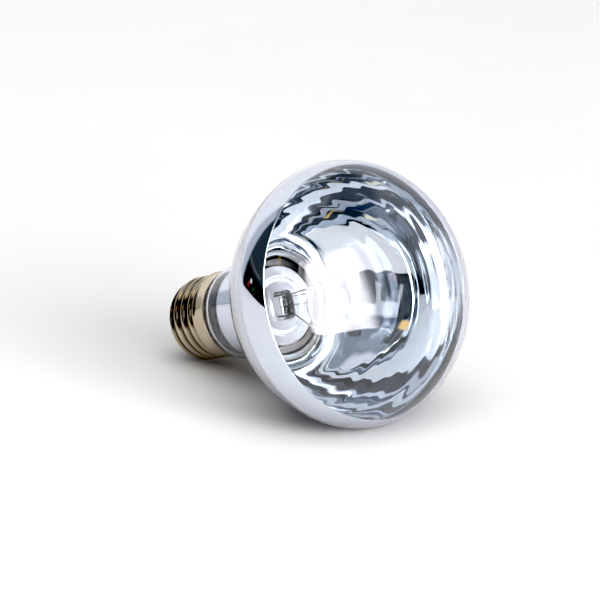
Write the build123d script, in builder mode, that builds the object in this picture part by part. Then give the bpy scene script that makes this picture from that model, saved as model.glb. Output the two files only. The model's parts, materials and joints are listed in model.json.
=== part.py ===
# Reflector lamp: neodymium glass bulb on an E27 screw cap, lying on its bowl and its first thread crest.
import os
from math import asin, atan2, cos, degrees, hypot, radians, sin, sqrt

from build123d import *

# Driving dimensions in millimetres and degrees. A station is a distance along the lamp from its contact tip.

# Screw cap
thread_diameter = 26.4
thread_depth = 1.1
thread_pitch = 3.63
thread_turns = 4.1
crest_width = 1.0
root_width = 0.5
crest_chamfer = 0.3
first_crest = 8.6
cap_height = 27.0
shell_wall = 0.35
mouth_radius = 10.1
curl_radius = 2.0
skirt_diameter = 26.7
skirt_height = 5.2
rim_flare = 0.3
rim_height = 1.1

# Contact end
solder_height = 0.8
solder_radius = 3.2
contact_radius = 5.2
contact_thickness = 0.7
contact_lip = 0.4
eyelet_radius = 1.9
eyelet_wall = 0.4
eyelet_depth = 3.6
insulator_lip_width = 1.0
insulator_depth = 4.2
insulator_cup_depth = 2.6
insulator_wall = 2.2
contact_clearance = 0.1

# Glass bulb
bulb_diameter = 80.0
dome_radius = 62.0
edge_radius = 19.5
brim_radius = 8.0
brim_turn = 15.7
flare_turn = 57.7
flare_radius = 15.0
neck_length = 13.4
neck_round = 3.8
neck_gap = 0.6
seal_diameter = 22.0
seal_depth = 6.5
glass_wall = 0.8

# Mirror film on the inside of the bowl
film_thickness = 0.15
film_reach = 7.5
film_inset = 4.0

# Glass stem
stem_radius = 5.0
stem_wall = 1.0
stem_length = 17.0
press_taper = 5.0
press_length = 11.0
press_width = 9.0
press_thickness = 4.4
press_round = 1.6
exhaust_radius = 2.1
exhaust_wall = 0.7
exhaust_length = 8.0
exhaust_point = 2.5
exhaust_hole_radius = 0.7

# Heat shield on the stem
shield_radius = 12.5
shield_thickness = 0.3
shield_setback = 4.5
shield_lip = 1.0
bead_radius = 8.6
bead_width = 2.0
bead_height = 0.4
shield_clearance = 0.1

# Wires and filament
lead_radius = 0.25
lead_spacing = 6.0
lead_straight = 1.2
lead_post = 3.5
lead_reach = 13.0
lead_bend = 1.4
rim_bend = 0.6
side_drop = 3.4
filament_radius = 0.35
filament_span = 11.7
filament_offset = -2.2
filament_bow = 4.1
filament_clearance = 0.05
support_radius = 0.12
support_depth = 3.0
support_places = (4.5, 1.85)
hook_clearance = 0.1
hook_bend = 0.3

# Cement and solder
cement_recess = 0.4
rim_solder_radius = 0.9

# Sizes worked out from the driving dimensions
crest_radius = thread_diameter / 2
root_radius = crest_radius - thread_depth
bore_radius = root_radius - shell_wall
skirt_radius = skirt_diameter / 2
skirt_bore = skirt_radius - shell_wall
skirt_start = cap_height - skirt_height
skirt_step = skirt_start - skirt_radius + root_radius
curl_top = first_crest - thread_pitch / 4
mouth_station = curl_top - curl_radius
bed_station = mouth_station + shell_wall
seal_radius = seal_diameter / 2
seal_station = cap_height - seal_depth
shoulder_station = cap_height + neck_gap
neck_start = shoulder_station + neck_round
neck_radius = seal_radius + neck_round
bulb_radius = bulb_diameter / 2

# Stations up the wall of the bulb
steep = radians(flare_turn)
mild = radians(brim_turn)
arc_rise = flare_radius * (1 - cos(steep)) + brim_radius * (1 - cos(mild))
bowl_radius = (bulb_radius - neck_radius - arc_rise) / (cos(mild) - cos(steep))
flare_start = neck_start + neck_length
bowl_start = flare_start + flare_radius * sin(steep)
brim_start = bowl_start + bowl_radius * (sin(steep) - sin(mild))
widest_station = brim_start + brim_radius * sin(mild)
brim_center = bulb_radius - brim_radius
bowl_center = brim_center - (bowl_radius - brim_radius) * cos(mild)
bowl_center_station = bowl_start + bowl_radius * sin(steep)
edge_center = bulb_radius - edge_radius
dome_station = widest_station - sqrt((dome_radius - edge_radius) ** 2 - edge_center**2)
apex_station = dome_station + dome_radius
edge_turn = degrees(atan2(widest_station - dome_station, edge_center))

# Stations up the stem and the filament mount
sleeve_radius = seal_radius - glass_wall
stem_bore = stem_radius - stem_wall
flare_top = seal_station + sleeve_radius - stem_radius
stem_top = seal_station + stem_length
press_start = stem_top + press_taper
press_end = press_start + press_length
exhaust_tip = seal_station - exhaust_length
shield_station = press_end - shield_setback
filament_station = press_end + lead_reach
lead_post_start = filament_station - lead_post
side_station = seal_station - side_drop

# How the lamp lies: a line under its first crest touches the bowl, or its brim where the bowl is too flat
rest_station = first_crest - crest_width / 2


def lean_on(round_center, round_station, round_radius):
    """Returns the angle at which the lamp lies on its first crest and one round of its wall."""
    run = round_station - rest_station
    rise = round_center - crest_radius
    return atan2(rise, run) + asin(round_radius / hypot(run, rise))


bowl_lean = lean_on(bowl_center, bowl_center_station, bowl_radius)
brim_lean = lean_on(brim_center, widest_station, brim_radius)
lean = bowl_lean if bowl_lean > mild else brim_lean
along = Vector(cos(lean), 0, sin(lean))
across = Vector(-sin(lean), 0, cos(lean))
contact_station = solder_height
lip_station = contact_station + contact_lip
insulator_lip = contact_radius + contact_clearance + insulator_lip_width
rear_end = lip_station * cos(lean) - insulator_lip * sin(lean)
front_end = dome_station * cos(lean) + dome_radius
tip = Vector(
    -(rear_end + front_end) / 2,
    0,
    crest_radius * cos(lean) - rest_station * sin(lean),
)

# Planes of the lamp: section holds the axis, with radius as x and station as y, and lamp lies across it
section = Plane(origin=tip, x_dir=across, z_dir=(0, 1, 0))
lamp = Plane(origin=tip, x_dir=across, z_dir=along)
lamp_axis = Axis(tip, along)

os.makedirs("parts", exist_ok=True)


def bowl_line(inset, start, turn):
    """Draws one line of the bulb's wall, parallel to its outside, and returns its last arc."""
    neck = Line((neck_radius - inset, start), (neck_radius - inset, flare_start))
    flare = JernArc(neck @ 1, neck % 1, flare_radius + inset, -flare_turn)
    bowl = JernArc(flare @ 1, flare % 1, bowl_radius - inset, flare_turn - brim_turn)
    brim = JernArc(bowl @ 1, bowl % 1, brim_radius - inset, brim_turn)
    return JernArc(brim @ 1, brim % 1, edge_radius - inset, turn)


# Blown glass bulb with an even wall, a round shoulder over the cap and a sleeve down to the seal
with BuildPart() as glass_bulb:
    with BuildSketch(section):
        with BuildLine():
            outside = bowl_line(0, neck_start, edge_turn)
            front = TangentArc(outside @ 1, (0, apex_station), tangent=outside % 1)
            inside = bowl_line(glass_wall, neck_start, edge_turn)
            back = TangentArc(inside @ 1, (0, apex_station - glass_wall), tangent=inside % 1)
            Line(front @ 1, back @ 1)
            shoulder = JernArc((neck_radius, neck_start), (0, -1), neck_round, -90)
            lining = JernArc((neck_radius - glass_wall, neck_start), (0, -1), neck_round - glass_wall, -90)
            Polyline(
                shoulder @ 1,
                (seal_radius, seal_station),
                (seal_radius - glass_wall, seal_station),
                (seal_radius - glass_wall, shoulder_station + glass_wall),
                lining @ 1,
            )
        make_face()
    revolve(axis=lamp_axis)
glass_bulb.part.label = "glass_bulb"
export_step(glass_bulb.part, "parts/glass_bulb.step")


def film_line(inset):
    """Draws one side of the mirror film, from the neck to its edge on the bowl."""
    return bowl_line(inset, neck_start + film_inset, degrees(asin(film_reach / (edge_radius - inset))))


# Aluminium mirror film on the inside of the neck and bowl, ending in front of the widest ring
with BuildPart() as mirror_film:
    with BuildSketch(section):
        with BuildLine():
            glass_side = film_line(glass_wall)
            free_side = film_line(glass_wall + film_thickness)
            Line(glass_side @ 1, free_side @ 1)
            Line(
                (neck_radius - glass_wall, neck_start + film_inset),
                (neck_radius - glass_wall - film_thickness, neck_start + film_inset),
            )
        make_face()
    revolve(axis=lamp_axis)
mirror_film.part.label = "mirror_film"
export_step(mirror_film.part, "parts/mirror_film.step")

# Stem: flare sealed to the neck, tube, flattened press round the leads, and exhaust tube drawn to a tip
hook_radius = filament_radius + hook_clearance + support_radius
with BuildPart() as glass_stem:
    with BuildSketch(section):
        with BuildLine():
            Polyline(
                (stem_radius, stem_top),
                (stem_radius, flare_top),
                (sleeve_radius, seal_station),
                (seal_radius, seal_station),
                (seal_radius, seal_station - stem_wall),
                (sleeve_radius, seal_station - stem_wall),
                (stem_bore, flare_top),
                (stem_bore, stem_top),
                close=True,
            )
        make_face()
        with BuildLine():
            Polyline(
                (0, exhaust_tip),
                (exhaust_radius, exhaust_tip + exhaust_point),
                (exhaust_radius, stem_top),
                (0, stem_top),
                close=True,
            )
        make_face()
    revolve(axis=lamp_axis)
    with BuildSketch(lamp.offset(stem_top)):
        Circle(stem_radius)
    with BuildSketch(lamp.offset(press_start)) as press_outline:
        RectangleRounded(press_width, press_thickness, press_round)
    loft()
    extrude(press_outline.sketch, amount=press_length)
    with BuildSketch(lamp.offset(exhaust_tip + exhaust_point)):
        Circle(exhaust_radius - exhaust_wall)
    extrude(amount=stem_top - exhaust_tip - exhaust_point + exhaust_radius, mode=Mode.SUBTRACT)
    with BuildSketch(section):
        with Locations((0, stem_top + exhaust_radius / 2)):
            Circle(exhaust_hole_radius)
    extrude(amount=stem_radius, both=True, mode=Mode.SUBTRACT)
    with BuildSketch(lamp.offset(stem_top)):
        with GridLocations(lead_spacing, 0, 2, 1):
            Circle(lead_radius)
    extrude(amount=press_taper + press_length, mode=Mode.SUBTRACT)
    with BuildSketch(lamp.offset(press_end)):
        with Locations(*[(filament_offset + place, hook_radius) for place in support_places]):
            Circle(support_radius)
    extrude(amount=-support_depth, mode=Mode.SUBTRACT)
glass_stem.part.label = "glass_stem"
export_step(glass_stem.part, "parts/glass_stem.step")

# Heat shield: a pressed disc with a round bead and a turned lip, slipped over the press to keep heat off the cap
with BuildPart() as heat_shield:
    with BuildSketch(section):
        with BuildLine():
            bead_start = bead_radius - bead_width / 2
            bead_end = bead_radius + bead_width / 2
            shield_back = shield_station - shield_thickness
            Polyline(
                (0, shield_station),
                (bead_start, shield_station),
                (bead_start + bead_height, shield_station + bead_height),
                (bead_end - bead_height, shield_station + bead_height),
                (bead_end, shield_station),
                (shield_radius, shield_station),
                (shield_radius, shield_station - shield_lip),
                (shield_radius - shield_thickness, shield_station - shield_lip),
                (shield_radius - shield_thickness, shield_back),
                (bead_end, shield_back),
                (bead_end - bead_height, shield_back + bead_height),
                (bead_start + bead_height, shield_back + bead_height),
                (bead_start, shield_back),
                (0, shield_back),
                close=True,
            )
        make_face()
    revolve(axis=lamp_axis)
    with BuildSketch(lamp.offset(shield_back)):
        offset(press_outline.sketch_local, amount=shield_clearance)
    extrude(amount=shield_thickness, mode=Mode.SUBTRACT)
heat_shield.part.label = "heat_shield"
export_step(heat_shield.part, "parts/heat_shield.step")

# Lead wires, each in one run from the cap through the press to its end of the filament
upper_end = filament_offset + filament_span / 2
lower_end = filament_offset - filament_span / 2
press_lead = lead_spacing / 2
side_radius = (seal_radius + bore_radius) / 2
rim_wire_station = cap_height + neck_gap / 2

with BuildPart() as lead_wire_centre:
    with BuildLine(section) as route:
        FilletPolyline(
            (0, contact_station - solder_height / 2),
            (0, contact_station + eyelet_depth + lead_bend),
            (press_lead, exhaust_tip),
            (press_lead, press_end + lead_straight),
            (upper_end, lead_post_start),
            (upper_end, filament_station),
            radius=lead_bend,
        )
    with BuildSketch(Plane(origin=route.line @ 0, z_dir=route.line % 0)):
        Circle(lead_radius)
    sweep(path=route.line)
lead_wire_centre.part.label = "lead_wire_centre"
export_step(lead_wire_centre.part, "parts/lead_wire_centre.step")

with BuildPart() as lead_wire_side:
    with BuildLine(section) as route:
        FilletPolyline(
            (-skirt_radius, rim_wire_station),
            (-side_radius, rim_wire_station),
            (-side_radius, side_station),
            (-press_lead, side_station),
            (-press_lead, press_end + lead_straight),
            (lower_end, lead_post_start),
            (lower_end, filament_station),
            radius=[rim_bend, lead_bend, lead_bend, lead_bend, lead_bend],
        )
    with BuildSketch(Plane(origin=route.line @ 0, z_dir=route.line % 0)):
        Circle(lead_radius)
    sweep(path=route.line)
lead_wire_side.part.label = "lead_wire_side"
export_step(lead_wire_side.part, "parts/lead_wire_side.step")

# Filament: the round of its coil, bowed back between the two leads
filament_half = filament_span / 2 - lead_radius - filament_radius - filament_clearance
bow_radius = (filament_half**2 + filament_bow**2) / (2 * filament_bow)
with BuildPart() as filament:
    with BuildLine(section) as route:
        ThreePointArc(
            (filament_offset + filament_half, filament_station - filament_radius),
            (filament_offset, filament_station - filament_radius - filament_bow),
            (filament_offset - filament_half, filament_station - filament_radius),
        )
    with BuildSketch(Plane(origin=route.line @ 0, z_dir=route.line % 0)):
        Circle(filament_radius)
    sweep(path=route.line)
filament.part.label = "filament"
export_step(filament.part, "parts/filament.step")

# Support wires, set in the press, each hooked over the filament
for number, place in enumerate(support_places, start=1):
    bow_depth = sqrt(bow_radius**2 - place**2)
    hook_station = filament_station - filament_radius - filament_bow + bow_radius - bow_depth
    hook_top = hook_station + hook_radius * bow_radius / bow_depth
    hook_plane = Plane(
        origin=section.from_local_coords((filament_offset + place, 0, 0)),
        x_dir=(0, -1, 0),
        z_dir=across,
    )
    with BuildPart() as support_wire:
        with BuildLine(hook_plane) as route:
            FilletPolyline(
                (hook_radius, press_end - support_depth),
                (hook_radius, hook_top),
                (-hook_radius, hook_top),
                radius=hook_bend,
            )
        with BuildSketch(Plane(origin=route.line @ 0, z_dir=route.line % 0)):
            Circle(support_radius)
        sweep(path=route.line)
    support_wire.part.label = f"support_wire_{number}"
    export_step(support_wire.part, f"parts/support_wire_{number}.step")

# Cap shell: turned-in mouth, rolled thread that fades in above it, plain skirt and flared rim
with BuildPart() as cap_shell:
    with BuildLine() as helix:
        Helix(
            thread_pitch,
            thread_pitch * thread_turns,
            root_radius,
            center=tip + along * (first_crest - thread_pitch / 2),
            direction=along,
        )
    ridge_half = (thread_pitch - root_width) / 2
    crest_half = crest_width / 2
    with BuildSketch(Plane(origin=helix.line @ 0, x_dir=across, z_dir=helix.line % 0)):
        with BuildLine():
            Polyline(
                (-shell_wall / 2, -ridge_half),
                (0, -ridge_half),
                (thread_depth - crest_chamfer, -crest_half - crest_chamfer),
                (thread_depth, -crest_half),
                (thread_depth, crest_half),
                (thread_depth - crest_chamfer, crest_half + crest_chamfer),
                (0, ridge_half),
                (-shell_wall / 2, ridge_half),
                close=True,
            )
        make_face()
    sweep(path=helix.line, is_frenet=True)
    with BuildSketch(section):
        with BuildLine():
            Polyline(
                (0, mouth_station),
                (mouth_radius, mouth_station),
                (skirt_radius, rest_station - crest_chamfer),
                (skirt_radius, skirt_start),
                (0, skirt_start),
                close=True,
            )
        make_face()
    revolve(axis=lamp_axis, mode=Mode.INTERSECT)
    with BuildSketch(section):
        with BuildLine():
            curl = JernArc((mouth_radius, mouth_station), (1, 0), curl_radius, 90)
            Polyline(
                curl @ 1,
                (root_radius, skirt_step),
                (skirt_radius, skirt_start),
                (skirt_radius, cap_height - rim_height),
                (skirt_radius + rim_flare, cap_height),
                (0, cap_height),
                (0, mouth_station),
                curl @ 0,
            )
        make_face()
    revolve(axis=lamp_axis)
    with BuildSketch(section):
        with BuildLine():
            Polyline(
                (0, mouth_station),
                (mouth_radius, mouth_station),
                (mouth_radius, bed_station),
                (bore_radius, curl_top),
                (bore_radius, skirt_step),
                (skirt_bore, skirt_start),
                (skirt_bore, cap_height - rim_height),
                (skirt_bore + rim_flare, cap_height),
                (0, cap_height),
                close=True,
            )
        make_face()
    revolve(axis=lamp_axis, mode=Mode.SUBTRACT)
cap_shell.part.label = "cap_shell"
export_step(cap_shell.part, "parts/cap_shell.step")

# Black glass insulator, moulded into the mouth of the shell, with a seat for the contact
with BuildPart() as cap_insulator:
    with BuildSketch(section):
        with BuildLine():
            seat_station = contact_station + contact_thickness
            seat_radius = contact_radius + contact_clearance
            hole_radius = eyelet_radius + contact_clearance
            cup_station = seat_station + insulator_depth
            Polyline(
                (bore_radius, curl_top),
                (bore_radius, curl_top + insulator_cup_depth),
                (bore_radius - insulator_wall, curl_top + insulator_cup_depth),
                (hole_radius + insulator_wall, cup_station),
                (hole_radius, cup_station),
                (hole_radius, seat_station),
                (seat_radius, seat_station),
                (seat_radius, lip_station),
                (insulator_lip, lip_station),
                (mouth_radius, mouth_station),
                (mouth_radius, bed_station),
                close=True,
            )
        make_face()
    revolve(axis=lamp_axis)
cap_insulator.part.label = "cap_insulator"
export_step(cap_insulator.part, "parts/cap_insulator.step")

# Centre contact: a plate with an eyelet that the lead comes through
with BuildPart() as centre_contact:
    with BuildSketch(section):
        with BuildLine():
            eyelet_bore = eyelet_radius - eyelet_wall
            Polyline(
                (eyelet_bore, contact_station),
                (contact_radius, contact_station),
                (contact_radius, seat_station),
                (eyelet_radius, seat_station),
                (eyelet_radius, contact_station + eyelet_depth),
                (eyelet_bore, contact_station + eyelet_depth),
                close=True,
            )
        make_face()
    revolve(axis=lamp_axis)
centre_contact.part.label = "centre_contact"
export_step(centre_contact.part, "parts/centre_contact.step")

# Solder: a low dome on the contact that fills its eyelet round the lead
with BuildPart() as contact_solder:
    with BuildSketch(section):
        with BuildLine():
            dome = ThreePointArc(
                (-solder_radius, contact_station),
                (0, 0),
                (solder_radius, contact_station),
            )
            Line(dome @ 1, dome @ 0)
        make_face()
        split(bisect_by=Plane.YZ)
        with BuildLine():
            Polyline(
                (0, contact_station),
                (eyelet_bore, contact_station),
                (eyelet_bore, seat_station),
                (0, seat_station),
                close=True,
            )
        make_face()
    revolve(axis=lamp_axis)
    add(lead_wire_centre.part, mode=Mode.SUBTRACT)
contact_solder.part.label = "contact_solder"
export_step(contact_solder.part, "parts/contact_solder.step")

# Cement that fixes the neck in the skirt, with a way through for the side lead
with BuildPart() as capping_cement:
    with BuildSketch(section):
        with BuildLine():
            Polyline(
                (seal_radius, skirt_start),
                (skirt_bore, skirt_start),
                (skirt_bore, cap_height - rim_height - cement_recess),
                (seal_radius, cap_height - rim_height - cement_recess),
                close=True,
            )
        make_face()
    revolve(axis=lamp_axis)
    add(lead_wire_side.part, mode=Mode.SUBTRACT)
capping_cement.part.label = "capping_cement"
export_step(capping_cement.part, "parts/capping_cement.step")

# Solder drop that holds the side lead to the rim of the shell, on the underside
with BuildPart() as rim_solder:
    with Locations(section.from_local_coords((-skirt_radius - rim_flare, cap_height, 0))):
        Sphere(rim_solder_radius)
    add(cap_shell.part, mode=Mode.SUBTRACT)
    add(lead_wire_side.part, mode=Mode.SUBTRACT)
    add(glass_bulb.part, mode=Mode.SUBTRACT)
rim_solder.part.label = "rim_solder"
export_step(rim_solder.part, "parts/rim_solder.step")
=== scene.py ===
import json
import math

import bpy
from mathutils import Matrix, Vector, noise


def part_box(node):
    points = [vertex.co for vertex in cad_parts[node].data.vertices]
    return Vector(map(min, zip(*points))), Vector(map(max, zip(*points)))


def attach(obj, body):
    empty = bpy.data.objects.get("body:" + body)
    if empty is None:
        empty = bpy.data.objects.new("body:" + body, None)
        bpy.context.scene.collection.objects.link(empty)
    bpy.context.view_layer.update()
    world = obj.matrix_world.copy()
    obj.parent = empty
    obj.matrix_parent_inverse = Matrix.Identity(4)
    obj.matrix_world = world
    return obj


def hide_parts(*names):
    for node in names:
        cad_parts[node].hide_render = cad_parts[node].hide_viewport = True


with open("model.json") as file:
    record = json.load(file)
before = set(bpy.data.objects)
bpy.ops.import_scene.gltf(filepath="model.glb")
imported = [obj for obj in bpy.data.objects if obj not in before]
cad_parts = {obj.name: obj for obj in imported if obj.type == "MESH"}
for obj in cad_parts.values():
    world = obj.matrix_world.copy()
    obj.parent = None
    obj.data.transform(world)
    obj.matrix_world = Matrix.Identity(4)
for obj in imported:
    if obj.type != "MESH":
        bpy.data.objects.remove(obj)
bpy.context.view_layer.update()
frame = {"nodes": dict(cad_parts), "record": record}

scene = bpy.context.scene
nodes = frame["nodes"]
screwCap = frame["record"]["mounts"][0]
tip = Vector(screwCap["pos_m"])                       # contact end of the lamp
lampAxis = -Vector(screwCap["axis"]).normalized()     # up the lamp, from cap to front
lampTurn = Vector((0, 0, 1)).rotation_difference(lampAxis)
lampPlace = Matrix.Translation(tip) @ lampTurn.to_matrix().to_4x4()
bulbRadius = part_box("glass_bulb")[1].y
print("lamp read from the frame, radius", round(bulbRadius, 4))


# small helpers

weldGap = 0.000002                                    # ends of a profile that meet are welded
nearAxis = 0.000001                                   # closer than this counts as on the axis
creaseAngle = math.radians(35)


def arcPoints(center, radius, start, end, step):
    count = max(2, round(abs(end - start) / step))
    angles = [math.radians(start + (end - start) * i / count) for i in range(count + 1)]
    return [(center[0] + radius * math.cos(a), center[1] + radius * math.sin(a)) for a in angles]


def linePoints(a, b, count):
    across, rise = b[0] - a[0], b[1] - a[1]
    return [(a[0] + across * i / count, a[1] + rise * i / count) for i in range(count + 1)]


def shares(count):
    # even steps up to the whole, without the start
    return [i / count for i in range(1, count + 1)]


def smoothStep(low, high, value):
    k = min(1, max(0, (value - low) / (high - low)))
    return k * k * (3 - 2 * k)


def turnOnLathe(name, profile, steps):
    # a point is drawn out along the profile and spun round the lamp's axis
    bpy.ops.object.select_all(action="DESELECT")
    bpy.ops.mesh.primitive_plane_add(size=0.001)
    piece = bpy.context.object
    piece.name = name
    piece.data.name = name
    bpy.ops.object.mode_set(mode="EDIT")
    bpy.ops.mesh.select_all(action="SELECT")
    bpy.ops.mesh.merge(type="CENTER")
    bpy.ops.transform.translate(value=(profile[0][0], 0, profile[0][1]))
    for a, b in zip(profile, profile[1:]):
        move = (b[0] - a[0], 0, b[1] - a[1])
        bpy.ops.mesh.extrude_vertices_move(TRANSFORM_OT_translate={"value": move})
    bpy.ops.mesh.select_all(action="SELECT")
    bpy.ops.mesh.spin(steps=steps, angle=2 * math.pi, center=(0, 0, 0), axis=(0, 0, 1))
    bpy.ops.mesh.select_all(action="SELECT")
    bpy.ops.mesh.remove_doubles(threshold=weldGap)
    bpy.ops.mesh.normals_make_consistent(inside=False)
    bpy.ops.object.mode_set(mode="OBJECT")
    bpy.ops.object.shade_smooth()
    return piece


def layOnLamp(piece):
    # from upright at the origin to where the lamp lies, with the place kept in the mesh
    bpy.ops.object.select_all(action="DESELECT")
    piece.select_set(True)
    bpy.context.view_layer.objects.active = piece
    piece.matrix_world = lampPlace
    bpy.ops.object.transform_apply(location=True, rotation=True, scale=True)
    return piece


def standsFor(piece, node):
    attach(piece, "root")
    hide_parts(node)


def newMaterial(name):
    mat = bpy.data.materials.new(name)
    mat.use_nodes = True
    tree = mat.node_tree
    shader = tree.nodes["Principled BSDF"]
    coords = tree.nodes.new("ShaderNodeTexCoord")
    return mat, tree, shader, coords.outputs["Object"]


def addNode(tree, kind, inputs=None, links=None, **settings):
    node = tree.nodes.new(kind)
    for key, value in settings.items():
        setattr(node, key, value)
    for key, value in (inputs or {}).items():
        node.inputs[key].default_value = value
    for key, socket in (links or {}).items():
        tree.links.new(socket, node.inputs[key])
    return node


def wear(piece, mat):
    piece.data.materials.clear()
    piece.data.materials.append(mat)


# blown glass and the mirror film behind it

bulbForm = {
    "wall": 0.0008, "domeRadius": 0.062, "edgeRadius": 0.0195, "brimRadius": 0.008, "brimTurn": 15.7,
    "flareTurn": 57.7, "flareRadius": 0.015, "neckLength": 0.0134, "neckRound": 0.0038, "neckGap": 0.0006,
    "capHeight": 0.027, "sealRadius": 0.011, "sealDepth": 0.0065, "steps": 224,
    "sealCuts": 4, "neckCuts": 11,                            # cuts of straight stretches
    "neckStep": 6, "flareStep": 4, "bowlStep": 1.6, "brimStep": 5, "edgeStep": 3, "domeStep": 0.8,   # degrees
}
filmForm = {
    "thickness": 0.00012, "offGlass": 0.00008, "reach": 0.0075, "inset": 0.004, "steps": 240, "fine": 2.5,
    "ring": 0.0036, "ringDepth": 0.00006, "around": 0.8,      # marks left as the glass turned in its mould
    "brimGain": 1.2, "brimWidth": 0.014,                      # deeper rings towards the brim
    "streak": 0.0019, "streakDepth": 0.000024, "streakAround": 0.9, "streakWidth": 0.02,
    "jag": 0.0034, "jagDepth": 0.00005, "jagAround": 2.2,     # the rougher side of the bowl
    "jagSide": -125, "jagFocus": 2,
    # the last two are stations over which the painted shade on the inner face fades out
    "outsideShare": 0.25, "shadeLow": 0.0505, "shadeHigh": 0.054,
}
rippleForm = {
    "swell": 0.024, "swellDepth": 0.00022, "swellAround": 1.5, "swellShift": 5, "stillRadius": 0.016,
    "slope": 0.9,                                             # of the bowl, so that rings run along its wall
}


def bulbStations():
    f = bulbForm
    shoulder = f["capHeight"] + f["neckGap"]
    neckStart = shoulder + f["neckRound"]
    neckRadius = f["sealRadius"] + f["neckRound"]
    steep, mild = math.radians(f["flareTurn"]), math.radians(f["brimTurn"])
    rise = f["flareRadius"] * (1 - math.cos(steep)) + f["brimRadius"] * (1 - math.cos(mild))
    bowlRadius = (bulbRadius - neckRadius - rise) / (math.cos(mild) - math.cos(steep))
    flareStart = neckStart + f["neckLength"]
    bowlStation = flareStart + (f["flareRadius"] + bowlRadius) * math.sin(steep)
    brimGap = bowlRadius - f["brimRadius"]
    bowlCenter = bulbRadius - f["brimRadius"] - brimGap * math.cos(mild)
    widest = bowlStation - brimGap * math.sin(mild)
    edgeCenter = bulbRadius - f["edgeRadius"]
    domeStation = widest - math.sqrt((f["domeRadius"] - f["edgeRadius"]) ** 2 - edgeCenter ** 2)
    edgeTurn = math.degrees(math.atan2(widest - domeStation, edgeCenter))
    return {
        "shoulder": shoulder, "neckStart": neckStart, "neckRadius": neckRadius, "flareStart": flareStart,
        "bowlRadius": bowlRadius, "bowlCenter": bowlCenter, "bowlStation": bowlStation, "widest": widest,
        "edgeCenter": edgeCenter, "domeStation": domeStation, "edgeTurn": edgeTurn,
    }


stations = bulbStations()


def wallLine(inset, start, turn, fine=1.0):
    # one line of the bulb's wall, from the neck to the given turn of its round front edge
    f, s = bulbForm, stations
    neckSide = s["neckRadius"] - inset
    neck = linePoints((neckSide, start), (neckSide, s["flareStart"]), round(f["neckCuts"] * fine))
    flare = arcPoints((s["neckRadius"] + f["flareRadius"], s["flareStart"]), f["flareRadius"] + inset,
                      180, 180 - f["flareTurn"], f["flareStep"] / fine)
    bowl = arcPoints((s["bowlCenter"], s["bowlStation"]), s["bowlRadius"] - inset,
                     -f["flareTurn"], -f["brimTurn"], f["bowlStep"] / fine)
    brim = arcPoints((bulbRadius - f["brimRadius"], s["widest"]), f["brimRadius"] - inset,
                     -f["brimTurn"], 0, f["brimStep"] / fine)
    edge = arcPoints((s["edgeCenter"], s["widest"]), f["edgeRadius"] - inset, 0, turn, f["edgeStep"] / fine)
    return neck + flare[1:] + bowl[1:] + brim[1:] + edge[1:]


def waveHeight(place):
    # slow swell of the blown wall, calm in the middle of the front
    f = rippleForm
    radius = max(math.hypot(place.x, place.y), nearAxis)
    x, y = place.x / radius * f["swellAround"], place.y / radius * f["swellAround"]
    upWall = place.z + f["slope"] * radius
    calm = min(1, radius / f["stillRadius"]) ** 2
    return calm * f["swellDepth"] * noise.noise(Vector((x + f["swellShift"], y, upWall / f["swell"])))


def ringHeight(place):
    # rings round the bowl, deepest at the brim, with fine streaks there and jagged marks on one side
    f, widest = filmForm, stations["widest"]
    radius = math.hypot(place.x, place.y)
    x, y, upWall = place.x / radius, place.y / radius, place.z + rippleForm["slope"] * radius
    ring = noise.noise(Vector((x * f["around"], y * f["around"], upWall / f["ring"])))
    jag = noise.noise(Vector((x * f["jagAround"], y * f["jagAround"], upWall / f["jag"])))
    side = math.radians(f["jagSide"])
    share = max(0, x * math.cos(side) + y * math.sin(side)) ** f["jagFocus"]
    streak = noise.noise(Vector((x * f["streakAround"], y * f["streakAround"], upWall / f["streak"])))
    near = smoothStep(widest - f["streakWidth"], widest, place.z)
    gain = 1 + f["brimGain"] * smoothStep(widest - f["brimWidth"], widest, place.z)
    return gain * f["ringDepth"] * ring + near * f["streakDepth"] * streak + share * f["jagDepth"] * jag


def facesOut(place, normal):
    return normal.dot(place - Vector((0, 0, stations["widest"]))) > 0


def paintShadeOnFilm(piece):
    # painted shade on the inner face behind the shield, and the film's finish reads how far
    f = filmForm
    paintedShade = piece.data.attributes.new("paintedShade", "FLOAT", "POINT")
    for v in piece.data.vertices:
        if not facesOut(v.co, v.normal):
            paintedShade.data[v.index].value = 1 - smoothStep(f["shadeLow"], f["shadeHigh"], v.co.z)


def rippleWall(piece, rings=False):
    # both faces of a wall move the same way, so the film keeps to the glass
    normals = [v.normal.copy() for v in piece.data.vertices]
    for v, out in zip(piece.data.vertices, normals):
        outside = facesOut(v.co, out)
        if not outside:
            out.negate()
        height = waveHeight(v.co)
        if rings:
            height += ringHeight(v.co) * (filmForm["outsideShare"] if outside else 1)
        v.co += out * height * smoothStep(stations["neckStart"], stations["flareStart"], v.co.z)


def blowBulb():
    f, s = bulbForm, stations
    sides = []
    for inset in (0, f["wall"]):
        wall = wallLine(inset, s["neckStart"], s["edgeTurn"])
        dome = arcPoints((0, s["domeStation"]), f["domeRadius"] - inset, s["edgeTurn"], 90, f["domeStep"])
        shoulder = arcPoints((f["sealRadius"], s["neckStart"]), f["neckRound"] - inset, -90, 0, f["neckStep"])
        sides.append(shoulder + wall[1:] + dome[1:])
    outer, inner = sides
    sealStation = f["capHeight"] - f["sealDepth"]
    inner = linePoints((f["sealRadius"] - f["wall"], sealStation),
                       (f["sealRadius"] - f["wall"], s["shoulder"] + f["wall"]), f["sealCuts"]) + inner
    outer = linePoints((f["sealRadius"], sealStation), outer[0], f["sealCuts"]) + outer[1:]
    piece = turnOnLathe("bulbGlass", list(reversed(outer)) + inner, f["steps"])
    rippleWall(piece)
    standsFor(layOnLamp(piece), "glass_bulb")
    return piece


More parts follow.
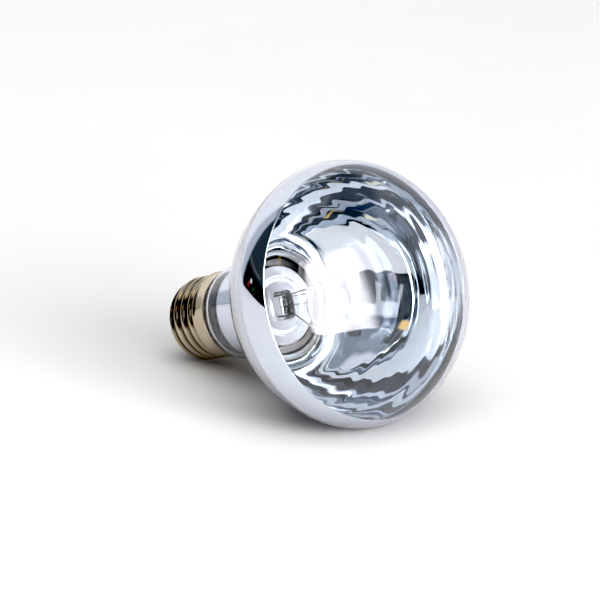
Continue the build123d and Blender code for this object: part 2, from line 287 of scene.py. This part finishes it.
def coatBowl():
    f, s = filmForm, stations
    sides = []
    back = bulbForm["wall"] + f["offGlass"]
    for inset in (back, back + f["thickness"]):
        turn = math.degrees(math.asin(f["reach"] / (bulbForm["edgeRadius"] - inset)))
        sides.append(wallLine(inset, s["neckStart"] + f["inset"], turn, f["fine"]))
    profile = sides[0] + list(reversed(sides[1])) + [sides[0][0]]
    piece = turnOnLathe("mirrorFilm", profile, f["steps"])
    paintShadeOnFilm(piece)
    rippleWall(piece, rings=True)
    standsFor(layOnLamp(piece), "mirror_film")
    return piece


bulbGlass = blowBulb()
mirrorFilm = coatBowl()
print("bulb blown and coated, bowl radius", round(stations["bowlRadius"], 4))


# cap: rolled shell, insulator, contact and solder

capForm = {
    "crestRadius": 0.0132, "depth": 0.0011, "pitch": 0.00363, "firstCrest": 0.0086, "turns": 3.6,
    "rise": 0.42, "fadeFrom": -0.4, "fadeTo": 0.25,           # start and end of the thread, in pitches
    "mouthRadius": 0.0101, "curlRadius": 0.002, "skirtRadius": 0.01335, "skirtHeight": 0.0052, "ease": 1.6,
    "rimFlare": 0.0003, "rimHeight": 0.0011, "wall": 0.00035, "steps": 160,
    "curlStep": 9, "lipStep": 30, "threadCuts": 76, "easeCuts": 8, "skirtCuts": 8, "flareCuts": 5,
}


def capLine(inset):
    f = capForm
    root = f["crestRadius"] - f["depth"]
    curlTop = f["firstCrest"] - f["pitch"] / 4
    skirtStart = bulbForm["capHeight"] - f["skirtHeight"]
    step = f["skirtRadius"] - root
    rim = bulbForm["capHeight"]
    curl = arcPoints((f["mouthRadius"], curlTop), f["curlRadius"] - inset, -90, 0, f["curlStep"])
    side = linePoints(curl[-1], (root - inset, skirtStart - f["ease"] * step), f["threadCuts"])
    ease = []
    for k in shares(f["easeCuts"]):
        ease.append((root - inset + step * smoothStep(0, 1, k), skirtStart - f["ease"] * step * (1 - k)))
    skirt = linePoints(ease[-1], (f["skirtRadius"] - inset, rim - f["rimHeight"]), f["skirtCuts"])
    flare = []
    for k in shares(f["flareCuts"]):
        out = f["rimFlare"] * smoothStep(0, 1, k)
        flare.append((f["skirtRadius"] - inset + out, rim - f["rimHeight"] * (1 - k)))
    return curl + side[1:] + ease + skirt[1:] + flare


def rollCap():
    f = capForm
    outer, inner = capLine(0), capLine(f["wall"])
    lipCenter = ((outer[-1][0] + inner[-1][0]) / 2, outer[-1][1])
    lip = arcPoints(lipCenter, f["wall"] / 2, 0, 180, f["lipStep"])
    piece = turnOnLathe("capShell", outer + lip[1:-1] + list(reversed(inner)) + [outer[0]], f["steps"])
    end = f["firstCrest"] + f["turns"] * f["pitch"]
    fadeFrom, fadeTo = end + f["fadeFrom"] * f["pitch"], end + f["fadeTo"] * f["pitch"]
    for v in piece.data.vertices:                             # the wall is pushed out along the thread
        turn = math.atan2(v.co.y, v.co.x) / (2 * math.pi)
        wound = (v.co.z - f["firstCrest"]) / f["pitch"] - turn
        rise = smoothStep(f["firstCrest"] - f["rise"] * f["pitch"], f["firstCrest"], v.co.z)
        fade = 1 - smoothStep(fadeFrom, fadeTo, v.co.z)
        lift = f["depth"] * (0.5 + 0.5 * math.cos(2 * math.pi * wound)) * rise * fade
        radius = math.hypot(v.co.x, v.co.y)
        v.co.xy *= (radius + lift) / radius
    standsFor(layOnLamp(piece), "cap_shell")
    return piece


endForm = {
    "contactRadius": 0.0052, "contactStation": 0.0008, "contactThick": 0.0007, "edge": 0.0002,
    "dish": 0.00015, "eyeletRadius": 0.0019, "eyeletWall": 0.0004, "eyeletDepth": 0.0036, "gap": 0.0001,
    "lipWidth": 0.001, "lipStation": 0.0012, "lipRound": 0.0003, "lipTurn": 60, "hollow": 0.0004,
    "mouthStation": 0.00569, "cupStation": 0.0057, "cupDepth": 0.0026, "cupWall": 0.0022,
    "steps": 96, "roundStep": 15, "coneCuts": 14, "faceCuts": 10,
}
solderForm = {
    "radius": 0.0032, "height": 0.0008, "power": 1.3, "seat": 0.0001, "lump": 0.00012, "lumpSize": 0.0016,
    "steps": 72, "cuts": 14,
}


def mouldInsulator():
    # black glass poured into the mouth of the shell
    f = endForm
    seat = f["contactStation"] + f["contactThick"]
    seatRadius = f["contactRadius"] + f["gap"]
    lipRadius = seatRadius + f["lipWidth"]
    bore = capForm["crestRadius"] - capForm["depth"] - capForm["wall"]
    curlTop = capForm["firstCrest"] - capForm["pitch"] / 4
    hole = f["eyeletRadius"] + f["gap"]
    lipRound, roundTop = f["lipRound"], f["lipStation"] + f["lipRound"]
    lip = arcPoints((seatRadius + lipRound, roundTop), lipRound, 180, 270, f["roundStep"])
    lip += arcPoints((lipRadius - lipRound, roundTop), lipRound, 270, 270 + f["lipTurn"], f["roundStep"])
    cone = []
    for k in shares(f["coneCuts"]):
        r = lip[-1][0] + (capForm["mouthRadius"] - lip[-1][0]) * k
        z = lip[-1][1] + (f["mouthStation"] - lip[-1][1]) * k
        cone.append((r, z + f["hollow"] * math.sin(math.pi * k)))
    cupTop = curlTop + f["cupDepth"]
    bed = [
        (capForm["mouthRadius"], f["mouthStation"] + capForm["wall"]), (bore, curlTop), (bore, cupTop),
        (bore - f["cupWall"], cupTop), (hole + f["cupWall"], f["cupStation"]), (hole, f["cupStation"]),
    ]
    profile = [(hole, seat), (seatRadius, seat)] + lip + cone + bed
    piece = turnOnLathe("capInsulator", profile + [profile[0]], f["steps"])
    bpy.ops.object.shade_smooth_by_angle(angle=creaseAngle)
    standsFor(layOnLamp(piece), "cap_insulator")
    return piece


def pressContact():
    # dished plate with a rounded edge and its eyelet
    f = endForm
    low, high = f["contactStation"], f["contactStation"] + f["contactThick"]
    inner = f["eyeletRadius"] - f["eyeletWall"]
    flat = f["contactRadius"] - f["edge"]
    face = linePoints((inner, low + f["dish"]), (flat, low), f["faceCuts"])
    rim = arcPoints((flat, low + f["edge"]), f["edge"], -90, 0, f["roundStep"])
    eyeletTop = low + f["eyeletDepth"]
    back = [(f["contactRadius"], high), (f["eyeletRadius"], high)]
    back += [(f["eyeletRadius"], eyeletTop), (inner, eyeletTop)]
    profile = face + rim[1:] + back
    piece = turnOnLathe("centreContact", profile + [profile[0]], f["steps"])
    bpy.ops.object.shade_smooth_by_angle(angle=creaseAngle)
    standsFor(layOnLamp(piece), "centre_contact")
    return piece


def lumpSolder(piece, seat):
    # set solder is a little uneven, but for the faces that seat
    f = solderForm
    normals = [v.normal.copy() for v in piece.data.vertices]
    for v, out in zip(piece.data.vertices, normals):
        if v.co.z <= seat:
            v.co += out * f["lump"] * noise.noise(v.co / f["lumpSize"])


def meltSolder():
    f, e = solderForm, endForm
    plug = e["eyeletRadius"] - e["eyeletWall"]
    low, high = e["contactStation"], e["contactStation"] + e["contactThick"]
    dome = [(0, low - f["height"])]
    for k in shares(f["cuts"]):
        bend = math.pi / 2 * k
        dome.append((f["radius"] * math.sin(bend), low - f["height"] * math.cos(bend) ** f["power"]))
    core = [(plug, low + e["dish"]), (plug, high), (0, high)]
    piece = turnOnLathe("contactSolder", dome + core, f["steps"])
    lumpSolder(piece, low - f["seat"])
    standsFor(layOnLamp(piece), "contact_solder")
    return piece


capShell = rollCap()
capInsulator = mouldInsulator()
centreContact = pressContact()
contactSolder = meltSolder()
print("cap rolled, its end closed")


# filament mount: coil, clamps, shield and stem

coilForm = {
    "station": 0.0665, "offset": -0.0022, "span": 0.0117, "bow": 0.0041, "radius": 0.00035,
    "leadRadius": 0.00025, "gap": 0.00005, "wire": 0.00006, "wireRounds": 1, "pitch": 0.00021,
    "pointsPerTurn": 12,
}


def windCoil():
    # local -X is up the side of the bulb
    f = coilForm
    half = f["span"] / 2 - f["leadRadius"] - f["radius"] - f["gap"]
    bend = (half ** 2 + f["bow"] ** 2) / (2 * f["bow"])
    reach = math.asin(half / bend)
    center = Vector((-f["offset"], 0, f["station"] - f["radius"] - f["bow"] + bend))
    turns = round(2 * reach * bend / f["pitch"])
    count = turns * f["pointsPerTurn"]
    ring = f["radius"] - f["wire"]
    points = []
    for i in range(count + 1):
        swing = reach * (2 * i / count - 1)
        out = Vector((math.sin(swing), 0, -math.cos(swing)))
        wind = 2 * math.pi * i / f["pointsPerTurn"]
        points.append(center + out * (bend + ring * math.cos(wind)) + Vector((0, ring * math.sin(wind), 0)))
    upperTail, lowerTail = [                                  # straight tails into the leads
        Vector((-f["offset"] + side * f["span"] / 2, 0, f["station"] - f["radius"])) for side in (-1, 1)
    ]
    points = [upperTail] + points + [lowerTail]
    curve = bpy.data.curves.new("filamentCoil", "CURVE")
    curve.dimensions = "3D"
    curve.bevel_depth = f["wire"]
    curve.bevel_resolution = f["wireRounds"]
    curve.use_fill_caps = True
    line = curve.splines.new("POLY")
    line.points.add(len(points) - 1)
    for spot, place in zip(line.points, points):
        spot.co = (*place, 1)
    piece = bpy.data.objects.new("filamentCoil", curve)
    scene.collection.objects.link(piece)
    bpy.ops.object.select_all(action="DESELECT")
    piece.select_set(True)
    bpy.context.view_layer.objects.active = piece
    bpy.ops.object.convert(target="MESH")
    bpy.ops.object.shade_smooth()
    standsFor(layOnLamp(piece), "filament")
    return piece


clampForm = {
    "size": (0.0009, 0.0008, 0.0017), "uplift": -0.0003, "waist": 0.72, "cuts": 3,
    "bevel": 0.00022, "rounds": 3,
}


def pressClamp(name, side):
    # the flattened end of a lead, pinched over the tail of the coil
    f, c = clampForm, coilForm
    bpy.ops.object.select_all(action="DESELECT")
    place = (-c["offset"] + side * c["span"] / 2, 0, c["station"] + f["uplift"])
    bpy.ops.mesh.primitive_cube_add(size=1, location=place, scale=f["size"])
    piece = bpy.context.object
    piece.name = name
    piece.data.name = name
    bpy.ops.object.transform_apply(location=True, rotation=True, scale=True)
    bpy.ops.object.mode_set(mode="EDIT")
    bpy.ops.mesh.select_all(action="SELECT")
    bpy.ops.mesh.subdivide(number_cuts=f["cuts"])
    bpy.ops.object.mode_set(mode="OBJECT")
    for v in piece.data.vertices:                             # pinched in the middle
        reach = abs(v.co.z - place[2]) / (f["size"][2] / 2)
        v.co.y *= f["waist"] + (1 - f["waist"]) * reach
    bevel = piece.modifiers.new("roundEdges", "BEVEL")
    bevel.width = f["bevel"]
    bevel.segments = f["rounds"]
    bevel.limit_method = "ANGLE"
    bpy.ops.object.modifier_apply(modifier=bevel.name)
    bpy.ops.object.shade_smooth()
    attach(layOnLamp(piece), "root")
    return piece


pressForm = {"halfWidth": 0.0045, "halfThick": 0.0022, "square": 4.0}


def pressRadius(turn, grow=0.0):
    # flattened outline of the pinched glass at one turn round the axis
    f = pressForm
    x = abs(math.cos(turn) / (f["halfWidth"] + grow)) ** f["square"]
    y = abs(math.sin(turn) / (f["halfThick"] + grow)) ** f["square"]
    return (x + y) ** (-1 / f["square"])


shieldForm = {
    "station": 0.049, "radius": 0.0125, "thickness": 0.0003, "lip": 0.001, "corner": 0.0005,
    "beadRadius": 0.0086, "beadWidth": 0.002, "beadHeight": 0.0004,
    "holeRadius": 0.0052, "holeBlend": 0.0074, "holeGap": 0.0001,
    "steps": 128, "cuts": 44, "cornerStep": 15,
}


def shieldLine(inset):
    f = shieldForm
    outer, top = f["radius"] - inset, f["station"] - inset
    cornerRadius, cornerStation = f["radius"] - f["corner"], f["station"] - f["corner"]
    flat = []
    for r, z in linePoints((f["holeRadius"], top), (cornerRadius, top), f["cuts"]):
        k = abs(r - f["beadRadius"]) / (f["beadWidth"] / 2)
        flat.append((r, z + f["beadHeight"] * (0.5 + 0.5 * math.cos(math.pi * min(1, k)))))
    corner = arcPoints((cornerRadius, cornerStation), f["corner"] - inset, 90, 0, f["cornerStep"])
    return flat + corner[1:] + [(outer, f["station"] - f["lip"])]


def pressShield():
    f = shieldForm
    profile = shieldLine(0) + list(reversed(shieldLine(f["thickness"])))
    piece = turnOnLathe("heatShield", profile + [profile[0]], f["steps"])
    for v in piece.data.vertices:                             # the hole takes the outline of the press
        radius = math.hypot(v.co.x, v.co.y)
        if radius < f["holeBlend"]:
            hole = pressRadius(math.atan2(v.co.y, v.co.x), f["holeGap"])
            k = (f["holeBlend"] - radius) / (f["holeBlend"] - f["holeRadius"])
            v.co.xy *= (f["holeBlend"] + k * (hole - f["holeBlend"])) / radius
    standsFor(layOnLamp(piece), "heat_shield")
    return piece


stemForm = {
    "sealRadius": 0.011, "sealStation": 0.0205, "wall": 0.001, "thinning": 0.4, "radius": 0.005,
    "flareTop": 0.0277, "flarePower": 2.2, "top": 0.0375, "boreEnd": 0.0395,
    "pressStart": 0.0425, "pressEnd": 0.0535, "round": 0.0012,
    "steps": 96, "roundStep": 15, "sideCuts": 40, "flareCuts": 10, "boreCuts": 10,
}
exhaustForm = {
    "tip": 0.0125, "radius": 0.0021, "wall": 0.0007, "tipRadius": 0.000735,
    "tipRound": 0.0003, "taper": 0.0025, "shoulder": 0.0026,  # heights above the tip
    "bore": 0.003, "boreTip": 0.0018,
    "steps": 48, "taperCuts": 6, "cuts": 12,
}


def drawExhaust(top):
    # thin tube that is sealed off at its tip
    f = exhaustForm
    low, inner = f["tip"], f["radius"] - f["wall"]
    tube = [(0, low)]
    tube += linePoints((f["tipRadius"], low + f["tipRound"]), (f["radius"], low + f["taper"]), f["taperCuts"])
    tube += linePoints((f["radius"], low + f["shoulder"]), (f["radius"], top), f["cuts"])
    tube += linePoints((inner, top), (inner, low + f["bore"]), f["cuts"])
    tube.append((0, low + f["boreTip"]))
    return turnOnLathe("exhaustTube", tube, f["steps"])


def drawStem():
    f = stemForm
    r, w, low = f["radius"], f["wall"], f["sealStation"]
    crown = [(0, f["pressEnd"])]
    crown += arcPoints((r - f["round"], f["pressEnd"] - f["round"]), f["round"], 90, 0, f["roundStep"])
    side = linePoints(crown[-1], (r, f["flareTop"]), f["sideCuts"])
    flare, lining = [], []
    for k in shares(f["flareCuts"]):
        x = r + (f["sealRadius"] - r) * k ** f["flarePower"]
        z = f["flareTop"] + (low - f["flareTop"]) * k
        flare.append((x, z))
        lining.insert(0, (x - w * (1 - k * f["thinning"]), z - w * k))
    bore = linePoints((r - w, f["flareTop"]), (r - w, f["top"]), f["boreCuts"])
    vault = f["boreEnd"] - f["top"]
    dome = [(x * (r - w), f["top"] + z * vault) for x, z in arcPoints((0, 0), 1, 0, 90, f["roundStep"])]
    profile = crown + side[1:] + flare + [(f["sealRadius"], low - w)] + lining + bore + dome[1:]
    piece = turnOnLathe("stemGlass", profile, f["steps"])
    for v in piece.data.vertices:                             # hot glass pinched flat round the leads
        radius = math.hypot(v.co.x, v.co.y)
        if radius > nearAxis:
            flat = pressRadius(math.atan2(v.co.y, v.co.x)) / r
            v.co.xy *= 1 + (flat - 1) * smoothStep(f["top"], f["pressStart"], v.co.z)
    exhaust = drawExhaust(f["top"])
    bpy.ops.object.select_all(action="DESELECT")
    exhaust.select_set(True)
    piece.select_set(True)
    bpy.context.view_layer.objects.active = piece
    bpy.ops.object.join()
    standsFor(layOnLamp(piece), "glass_stem")
    return piece


filamentCoil = windCoil()
clamps = [pressClamp("upperClamp", -1), pressClamp("lowerClamp", 1)]
heatShield = pressShield()
stemGlass = drawStem()
print("filament mount made")


# finishes

finishForms = {       # two tones, roughness from and to, scale across and along the lamp, bump in metres
    "capMetal": {"dark": (0.42, 0.35, 0.26), "light": (0.64, 0.55, 0.42), "rough": (0.08, 0.18),
                 "scale": (70, 2400), "bump": 0.000004, "metallic": 1,
                 # painted shade in the roots of the thread
                 "fade": {"by": (1, 0), "start": 0.0123, "end": 0.0131, "tone": (0.075, 0.058, 0.036)}},
    "shieldSatin": {"dark": (0.56, 0.56, 0.57), "light": (0.74, 0.74, 0.74), "rough": (0.28, 0.42),
                    "scale": (900, 900), "bump": 0.000006, "metallic": 1,
                    # painted shade on the back
                    "fade": {"by": (0, 1), "start": 0.0486, "end": 0.0489, "tone": (0.06, 0.05, 0.04)}},
    "nickelWire": {"dark": (0.13, 0.125, 0.12), "light": (0.34, 0.33, 0.31), "rough": (0.2, 0.38),
                   "scale": (9000, 500), "bump": 0.000004, "metallic": 1},
    "molybdenumWire": {"dark": (0.1, 0.1, 0.1), "light": (0.24, 0.235, 0.23), "rough": (0.25, 0.4),
                       "scale": (9000, 500), "bump": 0.000003, "metallic": 1},
    "tungstenCoil": {"dark": (0.06, 0.06, 0.065), "light": (0.16, 0.16, 0.17), "rough": (0.3, 0.5),
                     "scale": (4000, 4000), "bump": 0.000003, "metallic": 1},
    "blackGlass": {"dark": (0.008, 0.008, 0.01), "light": (0.02, 0.02, 0.024), "rough": (0.07, 0.2),
                   "scale": (500, 500), "bump": 0.00001, "metallic": 0},
    "contactBrass": {"dark": (0.56, 0.42, 0.2), "light": (0.82, 0.66, 0.38), "rough": (0.16, 0.34),
                     "scale": (1200, 300), "bump": 0.000006, "metallic": 1},
    "tinSolder": {"dark": (0.42, 0.42, 0.43), "light": (0.7, 0.7, 0.71), "rough": (0.25, 0.5),
                  "scale": (700, 700), "bump": 0.00003, "metallic": 1},
    "bakedCement": {"dark": (0.15, 0.135, 0.12), "light": (0.3, 0.275, 0.245), "rough": (0.8, 0.95),
                    "scale": (1500, 1500), "bump": 0.00006, "metallic": 0,
                    # painted shade inside the cap
                    "fade": {"by": (0, 1), "start": 0.0243, "end": 0.0252, "tone": (0.06, 0.05, 0.04)}},
}
cloudForm = {"scale": 160.0, "detail": 3.0, "marksDetail": 4.0, "share": 0.5, "low": 0.3, "high": 0.7}
floatA, floatB, colorA, colorB, colorOut = 2, 3, 6, 7, 2      # sockets of a Mix node


def lampCoords(tree, coords, across, along):
    # the lamp's own axis becomes Z, and the pattern is scaled across and along it
    upright = lampTurn.inverted()
    turned = addNode(tree, "ShaderNodeMapping", {
        "Rotation": upright.to_euler(), "Location": -(upright @ tip),
    }, {"Vector": coords})
    scale = (across, across, along)
    return addNode(tree, "ShaderNodeMapping", {"Scale": scale}, {"Vector": turned.outputs[0]}).outputs[0]


def addNoise(tree, coords, scale, detail):
    grain = {"Scale": scale, "Detail": detail}
    return addNode(tree, "ShaderNodeTexNoise", grain, {"Vector": coords}).outputs["Fac"]


def mapRange(tree, value, fromMin, fromMax, toMin=0.0, toMax=1.0, **settings):
    limits = {"From Min": fromMin, "From Max": fromMax, "To Min": toMin, "To Max": toMax}
    return addNode(tree, "ShaderNodeMapRange", limits, {"Value": value}, **settings).outputs["Result"]


def spread(tree, value, low, high):
    return mapRange(tree, value, cloudForm["low"], cloudForm["high"], low, high)


def mixTones(tree, factor, dark, light):
    # each tone is a colour or another node's output
    mix = addNode(tree, "ShaderNodeMix", None, {"Factor": factor}, data_type="RGBA")
    for key, tone in ((colorA, dark), (colorB, light)):
        if isinstance(tone, tuple):
            mix.inputs[key].default_value = (*tone, 1)
        else:
            tree.links.new(tone, mix.inputs[key])
    return mix.outputs[colorOut]


def addBump(tree, shader, height, metres):
    bump = addNode(tree, "ShaderNodeBump", {"Strength": 1.0, "Distance": metres}, {"Height": height})
    tree.links.new(bump.outputs["Normal"], shader.inputs["Normal"])


def surfaceFinish(name):
    f, c = finishForms[name], cloudForm
    mat, tree, shader, coords = newMaterial(name)
    marks = addNoise(tree, lampCoords(tree, coords, *f["scale"]), 1.0, c["marksDetail"])
    clouds = addNoise(tree, coords, c["scale"], c["detail"])
    blend = addNode(tree, "ShaderNodeMix", {"Factor": c["share"]}, {floatA: marks, floatB: clouds})
    half = blend.outputs["Result"]
    tone = mixTones(tree, spread(tree, half, 0, 1), f["dark"], f["light"])
    if "fade" in f:                                           # painted shade: a darker tone near the axis or lower down
        fade = f["fade"]
        place = addNode(tree, "ShaderNodeVectorMath", None, {0: lampCoords(tree, coords, *fade["by"])},
                        operation="LENGTH")
        share = mapRange(tree, place.outputs["Value"], fade["start"], fade["end"])
        tone = mixTones(tree, share, fade["tone"], tone)
    tree.links.new(tone, shader.inputs["Base Color"])
    tree.links.new(spread(tree, half, *f["rough"]), shader.inputs["Roughness"])
    shader.inputs["Metallic"].default_value = f["metallic"]
    addBump(tree, shader, marks, f["bump"])
    return mat


glassForms = {
    "neodymiumGlass": {"tint": (0.975, 0.98, 0.985), "soak": (0.55, 0.56, 0.75), "density": 230.0,
                       "bump": 0.0000015},
    "stemGlassClear": {"tint": (0.97, 0.98, 0.975), "soak": (0.6, 0.64, 0.62), "density": 50.0,
                       "bump": 0.00014},
}
glassLook = {"ior": 1.51, "rough": (0.0, 0.012), "waves": (320.0, 2.0), "dust": (90.0, 5.0)}   # scale, detail


def clearGlass(name):
    f, look = glassForms[name], glassLook
    mat, tree, shader, coords = newMaterial(name)
    waves = addNoise(tree, coords, *look["waves"])
    dust = addNoise(tree, coords, *look["dust"])
    shader.inputs["Base Color"].default_value = (*f["tint"], 1)
    shader.inputs["Transmission Weight"].default_value = 1
    shader.inputs["IOR"].default_value = look["ior"]
    tree.links.new(spread(tree, dust, *look["rough"]), shader.inputs["Roughness"])
    addBump(tree, shader, waves, f["bump"])
    soak = addNode(tree, "ShaderNodeVolumeAbsorption", {"Color": (*f["soak"], 1), "Density": f["density"]})
    tree.links.new(soak.outputs["Volume"], tree.nodes["Material Output"].inputs["Volume"])
    return mat


filmFinish = {
    # the third tone is painted shade, for the inner face behind the shield
    "dark": (0.79, 0.845, 0.885), "light": (0.89, 0.925, 0.945), "paintedShade": (0.3, 0.28, 0.26),
    "rough": (0.006, 0.03), "clouds": (70.0, 4.0),            # scale, detail
}


def aluminiumFilm():
    f = filmFinish
    mat, tree, shader, coords = newMaterial("aluminiumFilm")
    clouds = addNoise(tree, coords, *f["clouds"])
    bright = mixTones(tree, spread(tree, clouds, 0, 1), f["dark"], f["light"])
    paintedShade = addNode(tree, "ShaderNodeAttribute", attribute_name="paintedShade")       # painted shade behind the shield
    tree.links.new(mixTones(tree, paintedShade.outputs["Fac"], bright, f["paintedShade"]), shader.inputs["Base Color"])
    tree.links.new(spread(tree, clouds, *f["rough"]), shader.inputs["Roughness"])
    shader.inputs["Metallic"].default_value = 1
    return mat


wear(bulbGlass, clearGlass("neodymiumGlass"))
wear(stemGlass, clearGlass("stemGlassClear"))
wear(mirrorFilm, aluminiumFilm())
wear(capShell, surfaceFinish("capMetal"))
wear(heatShield, surfaceFinish("shieldSatin"))
wear(filamentCoil, surfaceFinish("tungstenCoil"))
nickelWire = surfaceFinish("nickelWire")
for piece in (nodes["lead_wire_centre"], nodes["lead_wire_side"], *clamps):
    wear(piece, nickelWire)
molybdenumWire = surfaceFinish("molybdenumWire")
for name in ("support_wire_1", "support_wire_2"):
    wear(nodes[name], molybdenumWire)
wear(capInsulator, surfaceFinish("blackGlass"))
wear(centreContact, surfaceFinish("contactBrass"))
tinSolder = surfaceFinish("tinSolder")
for piece in (contactSolder, nodes["rim_solder"]):
    wear(piece, tinSolder)
wear(nodes["capping_cement"], surfaceFinish("bakedCement"))
print("finishes on")


# floor, light and camera

floorForm = {
    "size": 8.0, "dark": (0.925, 0.917, 0.903), "light": (0.95, 0.942, 0.928), "rough": (0.62, 0.78),
    "clouds": (9.0, 3.0), "grain": (900.0, 2.0), "bump": 0.00002,       # scale, detail
}


def floorWhite():
    f = floorForm
    mat, tree, shader, coords = newMaterial("floorWhite")
    clouds = addNoise(tree, coords, *f["clouds"])
    grain = addNoise(tree, coords, *f["grain"])
    tone = mixTones(tree, spread(tree, clouds, 0, 1), f["dark"], f["light"])
    tree.links.new(tone, shader.inputs["Base Color"])
    tree.links.new(spread(tree, clouds, *f["rough"]), shader.inputs["Roughness"])
    addBump(tree, shader, grain, f["bump"])
    return mat


bpy.ops.object.select_all(action="DESELECT")
bpy.ops.mesh.primitive_plane_add(size=floorForm["size"], location=(0, 0, 0))
floor = bpy.context.object
floor.name = "floor"
wear(floor, floorWhite())

skyForm = {"size": 3.0, "place": (0.45, -0.6, 2.1), "watts": 47.0}
skyData = bpy.data.lights.new("softSky", "AREA")
skyData.shape = "DISK"
skyData.size = skyForm["size"]
skyData.energy = skyForm["watts"]
sky = bpy.data.objects.new("softSky", skyData)
scene.collection.objects.link(sky)
sky.location = skyForm["place"]
sky.rotation_euler = Vector(skyForm["place"]).to_track_quat("Z", "Y").to_euler()
sky.visible_glossy = False
sky.visible_transmission = False

# the studio as the mirror sees it: azimuth from, to, elevation from, to in degrees, softness, colour
studioPanels = {
    "ceiling": (-181, 181, 46, 91, 6, (0.22, 0.265, 0.32)),
    "ceilingLight": (-181, 181, 73, 91, 6, (0.8, 0.83, 0.87)),
    "leftGlow": (-135, -75, -4, 58, 8, (1.12, 1.12, 1.13)),
    "leftGrey": (-73, -56, -3, 48, 7, (0.6, 0.63, 0.68)),
    "darkWall": (-58, 20, -3, 60, 3, (0.05, 0.062, 0.07)),
    "darkFoot": (-58, 12, -3, 13, 5, (0.006, 0.006, 0.008)),
    "darkLow": (11, 58, -3, 8, 2, (0.012, 0.013, 0.016)),
    "greyCorner": (50, 59, 7, 29, 3, (0.06, 0.075, 0.1)),
    "darkCorner": (44, 53, 7, 27, 3, (0.012, 0.014, 0.018)),
    "darkTop": (58, 121, 42, 55, 3, (0.02, 0.024, 0.03)),
    "darkSide": (118, 146, -4, 64, 4, (0.02, 0.025, 0.03)),
    "paleWall": (20, 45, 8, 47, 2, (0.66, 0.68, 0.72)),
    "warmStrip": (25, 36, 1, 7, 1, (0.30, 0.21, 0.2)),
    "greyFlag": (22, 36, 6, 23, 2, (0.05, 0.055, 0.06)),
    "blueFlag": (18, 62, 36, 46, 2, (0.025, 0.055, 0.11)),
    "warmSpot": (4, 13, 36, 44, 2, (1.3, 0.82, 0.28)),
    "redSpot": (-46, -43, 2, 5, 1, (0.5, 0.06, 0.05)),
    "greenSpot": (-34, -32, 3, 6, 1, (0.07, 0.3, 0.12)),
    "paleSpot": (-41, -38, 6, 9, 1, (1.3, 1.25, 1.1)),
    "topGlow": (-40, 12, 63, 78, 4, (1.5, 1.35, 1.02)),
    "greyStrip": (-56, -20, 16, 17.5, 1, (0.16, 0.15, 0.14)),
    "window": (58, 119, -6, 43, 4, (1.5, 1.53, 1.6)),
    "sideLamp": (54, 60, 34, 42, 1, (2.5, 2.5, 2.6)),
    "softbox": (68, 108, -2, 40, 9, (12.0, 12.0, 12.2)),
}
studioBase = (0.88, 0.92, 0.99)
backdropWhite = (1.0, 1.0, 1.0)                               # what the camera sees past the floor
diffuseShare = 0.18                                           # less fill on the floor than in the mirror


def hangStudio():
    world = bpy.data.worlds.new("studio")
    scene.world = world
    world.use_nodes = True
    tree = world.node_tree
    background = tree.nodes["Background"]
    coords = addNode(tree, "ShaderNodeTexCoord")
    split = addNode(tree, "ShaderNodeSeparateXYZ", links={0: coords.outputs["Generated"]})
    front = addNode(tree, "ShaderNodeMath", {1: -1.0}, {0: split.outputs["Y"]}, operation="MULTIPLY")
    around = addNode(tree, "ShaderNodeMath", None, {0: split.outputs["X"], 1: front.outputs[0]},
                     operation="ARCTAN2").outputs[0]
    height = addNode(tree, "ShaderNodeMath", None, {0: split.outputs["Z"]}, operation="ARCSINE").outputs[0]
    color = studioBase
    for azFrom, azTo, elFrom, elTo, soft, paint in studioPanels.values():
        mask = None
        for angle, low, high in ((around, azFrom, azTo), (height, elFrom, elTo)):
            for edge, start, end in ((low, 0.0, 1.0), (high, 1.0, 0.0)):
                ramp = mapRange(tree, angle, math.radians(edge - soft / 2), math.radians(edge + soft / 2),
                                start, end, interpolation_type="SMOOTHSTEP")
                if mask is None:
                    mask = ramp
                else:
                    mask = addNode(tree, "ShaderNodeMath", None, {0: mask, 1: ramp},
                                   operation="MULTIPLY").outputs[0]
        color = mixTones(tree, mask, color, paint)
    seen = addNode(tree, "ShaderNodeLightPath")
    shown = mixTones(tree, seen.outputs["Is Camera Ray"], color, backdropWhite)
    tree.links.new(shown, background.inputs["Color"])
    fill = mapRange(tree, seen.outputs["Is Diffuse Ray"], 0.0, 1.0, 1.0, diffuseShare)
    tree.links.new(fill, background.inputs["Strength"])


hangStudio()

cameraForm = {
    "azimuth": 50.074, "elevation": 16.478, "distance": 0.86808, "focalPixels": 2897.82, "imagePixels": 600,
    "target": (0.009827, -0.005786, 0.033131), "roll": 2.078, "sensor": 36.0, "clip": 0.01,
}
viewForm = {"transform": "Standard", "black": 0.025}


def setCamera():
    f = cameraForm
    az, el = math.radians(f["azimuth"]), math.radians(f["elevation"])
    back = Vector((math.sin(az) * math.cos(el), -math.cos(az) * math.cos(el), math.sin(el)))
    data = bpy.data.cameras.new("camera")
    camera = bpy.data.objects.new("camera", data)
    scene.collection.objects.link(camera)
    data.sensor_width = f["sensor"]
    data.lens = f["focalPixels"] / f["imagePixels"] * f["sensor"]
    data.clip_start = f["clip"]
    turn = back.to_track_quat("Z", "Y").to_matrix().to_4x4()
    roll = Matrix.Rotation(math.radians(f["roll"]), 4, "Z")
    camera.matrix_world = Matrix.Translation(Vector(f["target"]) + back * f["distance"]) @ turn @ roll
    scene.camera = camera


def setView():
    view = scene.view_settings
    view.view_transform = viewForm["transform"]
    view.use_curve_mapping = True                             # for deep blacks
    view.curve_mapping.black_level = [viewForm["black"]] * 3
    view.curve_mapping.update()


setCamera()
setView()
print("camera and studio set")
